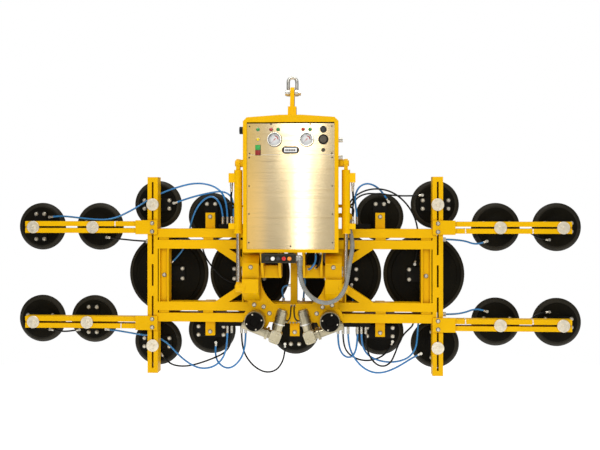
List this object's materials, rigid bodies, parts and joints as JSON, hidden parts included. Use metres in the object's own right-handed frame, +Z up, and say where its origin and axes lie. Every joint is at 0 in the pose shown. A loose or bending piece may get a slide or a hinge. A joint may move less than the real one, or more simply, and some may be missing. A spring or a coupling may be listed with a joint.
{
  "type": "glass panel lifter",
  "caption": "Hanging vacuum lifter for glass panels: a control cabinet in a bail, a yoke that tilts on cylinders, and a wide frame of suction pads that turns on a slewing ring.",
  "frame": {"origin": "the seat of the sling inside the shackle's bow", "axes": "+Z up, +X along the long arms, +Y the way the suction pads face, away from the control panel"},
  "size_m": [3.452, 0.528, 1.765],
  "materials": {
    "yellow_paint": "semi-gloss",
    "stainless": "brushed",
    "zinc": "plated",
    "rod_chrome": "polished",
    "gear_steel": "machined",
    "cast_aluminium": "cast",
    "black_steel": "satin",
    "cover_black": "moulded",
    "pad_rubber": "moulded",
    "nickel": "plated",
    "blue_hose": "smooth",
    "black_hose": "smooth",
    "conduit_grey": "smooth",
    "pendant_grey": "moulded",
    "gauge_case": "bright",
    "needle_red": "satin",
    "lamp_lens": "clear",
    "instrument_black": "moulded",
    "button_black": "moulded",
    "button_white": "moulded",
    "button_red": "moulded",
    "button_orange": "moulded",
    "button_green": "moulded"
  },
  "bodies": {
    "bail": {"bail_frame": "yellow_paint", "lifting_lug": "yellow_paint", "cabinet_shell": "stainless", "control_panel": "stainless", "access_panel": "stainless", "vacuum_gauges": "gauge_case", "indicator_lamps": "lamp_lens", "panel_instruments": "instrument_black", "pendant_housing": "pendant_grey", "pendant_conduit": "conduit_grey", "supply_hoses": "blue_hose"},
    "shackle": {"shackle_bow": "zinc", "shackle_pin": "zinc"},
    "cylinder_body_left": {"cylinder_left": "yellow_paint", "hydraulic_lines_left": "black_hose"},
    "cylinder_body_right": {"cylinder_right": "yellow_paint", "hydraulic_lines_right": "black_hose"},
    "rod_body_left": {"rod_left": "rod_chrome"},
    "rod_body_right": {"rod_right": "rod_chrome"},
    "yoke": {"yoke_frame": "yellow_paint", "tilt_pins": "zinc", "slew_inner_ring": "gear_steel", "gearbox_housings": "cast_aluminium", "gearbox_covers": "cover_black", "drive_motors": "cast_aluminium", "yoke_bolts": "zinc", "motor_cables": "black_hose"},
    "pinion_body_left": {"pinion_left": "gear_steel"},
    "pinion_body_right": {"pinion_right": "gear_steel"},
    "pad_frame": {"slew_gear_ring": "gear_steel", "hub_plate": "yellow_paint", "frame_rails": "yellow_paint", "frame_uprights": "yellow_paint", "frame_braces": "yellow_paint", "pad_posts": "yellow_paint", "beam_left": "yellow_paint", "beam_right": "yellow_paint", "arms_left": "yellow_paint", "arms_right": "yellow_paint", "arm_pads_left": "pad_rubber", "arm_pads_right": "pad_rubber", "frame_pads": "pad_rubber", "large_pads": "pad_rubber", "pad_bridges": "black_steel", "pad_bolts": "zinc", "pad_clamps": "zinc", "manifolds": "black_steel", "hose_fittings": "nickel", "blue_hoses": "blue_hose", "black_hoses": "black_hose"},
    "pendant_button_1_body": {"pendant_button_1": "button_black"},
    "pendant_button_2_body": {"pendant_button_2": "button_white"},
    "pendant_button_3_body": {"pendant_button_3": "button_black"},
    "pendant_button_4_body": {"pendant_button_4": "button_red"},
    "pendant_button_5_body": {"pendant_button_5": "button_orange"},
    "start_button_body": {"start_button": "button_green"},
    "stop_button_body": {"stop_button": "button_red"},
    "mute_button_body": {"mute_button": "button_black"},
    "needle_body_left": {"gauge_needle_left": "needle_red"},
    "needle_body_right": {"gauge_needle_right": "needle_red"}
  },
  "joints": [
    {"name": "shackle_swing", "type": "hinge", "parent": "bail", "child": "shackle", "pos_m": [0, 0, -0.08], "axis": [1, 0, 0], "range_deg": [-75, 75]},
    {"name": "tilt", "type": "hinge", "parent": "bail", "child": "yoke", "pos_m": [0, 0, -1.11], "axis": [-1, 0, 0], "range_deg": [0, 90], "deforming": ["pendant_conduit"]},
    {"name": "turn", "type": "hinge", "parent": "yoke", "child": "pad_frame", "pos_m": [0, 0.092, -1.148], "axis": [0, 1, 0], "continuous": true},
    {"name": "pinion_spin_left", "type": "hinge", "parent": "yoke", "child": "pinion_body_left", "pos_m": [-0.217, 0.092, -1.39662], "axis": [0, 1, 0], "continuous": true},
    {"name": "cylinder_swing_left", "type": "hinge", "parent": "bail", "child": "cylinder_body_left", "pos_m": [-0.308, -0.06, -0.488], "axis": [-1, 0, 0], "range_deg": [0, 2.86]},
    {"name": "rod_slide_left", "type": "slide", "parent": "cylinder_body_left", "child": "rod_body_left", "axis": [0, 0, 1], "range_m": [0, 0.1474]},
    {"name": "pinion_spin_right", "type": "hinge", "parent": "yoke", "child": "pinion_body_right", "pos_m": [0.217, 0.092, -1.39662], "axis": [0, 1, 0], "continuous": true},
    {"name": "cylinder_swing_right", "type": "hinge", "parent": "bail", "child": "cylinder_body_right", "pos_m": [0.308, -0.06, -0.488], "axis": [-1, 0, 0], "range_deg": [0, 2.86]},
    {"name": "rod_slide_right", "type": "slide", "parent": "cylinder_body_right", "child": "rod_body_right", "axis": [0, 0, 1], "range_m": [0, 0.1474]},
    {"name": "pendant_button_1_press", "type": "slide", "parent": "bail", "child": "pendant_button_1_body", "axis": [0, 1, 0], "range_m": [0, 0.004], "stiffness_N_per_m": 800},
    {"name": "pendant_button_2_press", "type": "slide", "parent": "bail", "child": "pendant_button_2_body", "axis": [0, 1, 0], "range_m": [0, 0.004], "stiffness_N_per_m": 800},
    {"name": "pendant_button_3_press", "type": "slide", "parent": "bail", "child": "pendant_button_3_body", "axis": [0, 1, 0], "range_m": [0, 0.004], "stiffness_N_per_m": 800},
    {"name": "pendant_button_4_press", "type": "slide", "parent": "bail", "child": "pendant_button_4_body", "axis": [0, 1, 0], "range_m": [0, 0.004], "stiffness_N_per_m": 800},
    {"name": "pendant_button_5_press", "type": "slide", "parent": "bail", "child": "pendant_button_5_body", "axis": [0, 1, 0], "range_m": [0, 0.004], "stiffness_N_per_m": 800},
    {"name": "start_button_press", "type": "slide", "parent": "bail", "child": "start_button_body", "axis": [0, 1, 0], "range_m": [0, 0.004], "stiffness_N_per_m": 800},
    {"name": "stop_button_press", "type": "slide", "parent": "bail", "child": "stop_button_body", "axis": [0, 1, 0], "range_m": [0, 0.004], "stiffness_N_per_m": 800},
    {"name": "mute_button_press", "type": "slide", "parent": "bail", "child": "mute_button_body", "axis": [0, 1, 0], "range_m": [0, 0.004], "stiffness_N_per_m": 800},
    {"name": "needle_turn_left", "type": "hinge", "parent": "bail", "child": "needle_body_left", "pos_m": [-0.089, -0.186, -0.361], "axis": [0, 1, 0], "range_deg": [0, 270]},
    {"name": "needle_turn_right", "type": "hinge", "parent": "bail", "child": "needle_body_right", "pos_m": [0.089, -0.186, -0.361], "axis": [0, 1, 0], "range_deg": [0, 270]}
  ],
  "couplings": [
    {"joint": "pinion_spin_left", "follows": "turn", "ratio": -4.5},
    {"joint": "cylinder_swing_left", "follows": "tilt", "ratio": 0.031692},
    {"joint": "rod_slide_left", "follows": "tilt", "m_per_rad": 0.093776},
    {"joint": "pinion_spin_right", "follows": "turn", "ratio": -4.5},
    {"joint": "cylinder_swing_right", "follows": "tilt", "ratio": 0.031692},
    {"joint": "rod_slide_right", "follows": "tilt", "m_per_rad": 0.093776}
  ]
}
